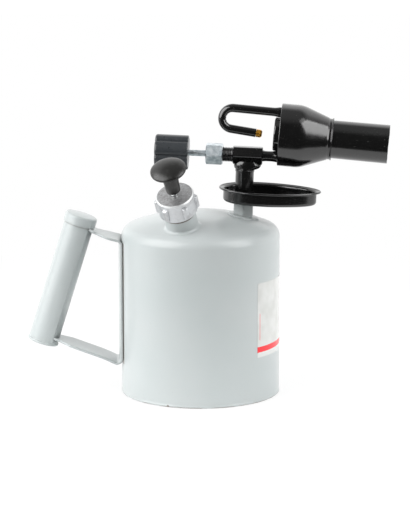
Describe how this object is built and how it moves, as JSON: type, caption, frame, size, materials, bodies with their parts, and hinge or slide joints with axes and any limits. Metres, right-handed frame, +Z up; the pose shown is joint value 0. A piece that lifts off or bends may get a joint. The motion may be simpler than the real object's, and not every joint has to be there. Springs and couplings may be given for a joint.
{
  "type": "petrol blowlamp",
  "caption": "Blowlamp with a cylindrical fuel tank, hand pump, oval priming tray, needle valve with lobed knob, looped vapour tube, bell burner and tubular side handle.",
  "frame": {"origin": "middle of the underside of the tank's base, which the lamp stands on", "axes": "+Z up; +X from the tank's axis to the burner's mouth, so that the handle stands at -X; -Y towards the pump"},
  "size_m": [0.2968, 0.1462, 0.2396],
  "materials": {
    "grey_paint": "gloss blue-grey paint on steel",
    "black_enamel": "gloss black heat-proof enamel on steel",
    "cast_alloy": "die-cast, satin, with a bright machined edge",
    "zinc_plate": "bright zinc plate",
    "bright_steel": "bright drawn steel",
    "brass": "turned brass",
    "leather": "oiled leather",
    "rubber": "fuel-proof rubber",
    "fibre": "pressed fibre",
    "black_plastic": "satin black moulding"
  },
  "bodies": {
    "tank": {"tank_shell": "grey_paint", "tank_base": "grey_paint", "filler_neck": "grey_paint", "boss_pad": "grey_paint", "riser_boss": "grey_paint", "dip_tube": "brass", "dip_filter": "brass", "riser_washer": "fibre", "riser_pipe": "black_enamel", "priming_tray": "black_enamel", "tee_body": "black_enamel", "gland_nut": "zinc_plate", "gland_packing": "fibre", "gland_follower": "brass", "feed_tube": "black_enamel", "vaporiser_loop": "black_enamel", "vapour_tube": "black_enamel", "jet_nozzle": "brass", "burner_bell": "black_enamel", "bell_back_plate": "black_enamel", "air_collar": "black_enamel", "flame_tube": "black_enamel", "handle_strap": "grey_paint", "handle_grip": "grey_paint", "grip_cap": "grey_paint"},
    "pump": {"pump_barrel": "brass", "cap_gasket": "rubber", "rod_guide": "brass", "check_valve_housing": "brass", "ball_retainer": "brass"},
    "cap": {"pump_cap": "cast_alloy"},
    "plunger": {"pump_rod": "bright_steel", "pump_knob": "black_plastic", "piston_plate": "bright_steel", "piston_cup": "leather", "piston_spreader": "bright_steel", "piston_nut": "brass"},
    "valve_ball": {"check_valve_ball": "bright_steel"},
    "needle": {"valve_needle": "bright_steel"},
    "spindle": {"valve_spindle": "zinc_plate", "valve_knob": "black_plastic", "knob_screw": "zinc_plate"}
  },
  "joints": [
    {"name": "pump_lift", "type": "slide", "parent": "tank", "child": "pump", "axis": [-0.1856, -0.4964, 0.848], "range_m": [0, 0.008]},
    {"name": "cap_turn", "type": "hinge", "parent": "pump", "child": "cap", "pos_m": [-0.02046, -0.05473, 0.17297], "axis": [-0.1856, -0.4964, 0.848], "range_deg": [0, 1470]},
    {"name": "pump_stroke", "type": "slide", "parent": "pump", "child": "plunger", "axis": [-0.1856, -0.4964, 0.848], "range_m": [0, 0.07]},
    {"name": "ball_lift", "type": "slide", "parent": "pump", "child": "valve_ball", "axis": [-0.1856, -0.4964, 0.848], "range_m": [0, 0.0014]},
    {"name": "valve_advance", "type": "slide", "parent": "tank", "child": "needle", "axis": [-0.997, 0.0698, 0.0348], "range_m": [0, 0.0015]},
    {"name": "valve_turn", "type": "hinge", "parent": "needle", "child": "spindle", "pos_m": [0.03665, 0, 0.19689], "axis": [-0.997, 0.0698, 0.0348], "range_deg": [0, 552]}
  ],
  "couplings": [
    {"joint": "cap_turn", "follows": "pump_lift", "rad_per_m": 3141.6},
    {"joint": "valve_turn", "follows": "valve_advance", "rad_per_m": 6283.2}
  ]
}
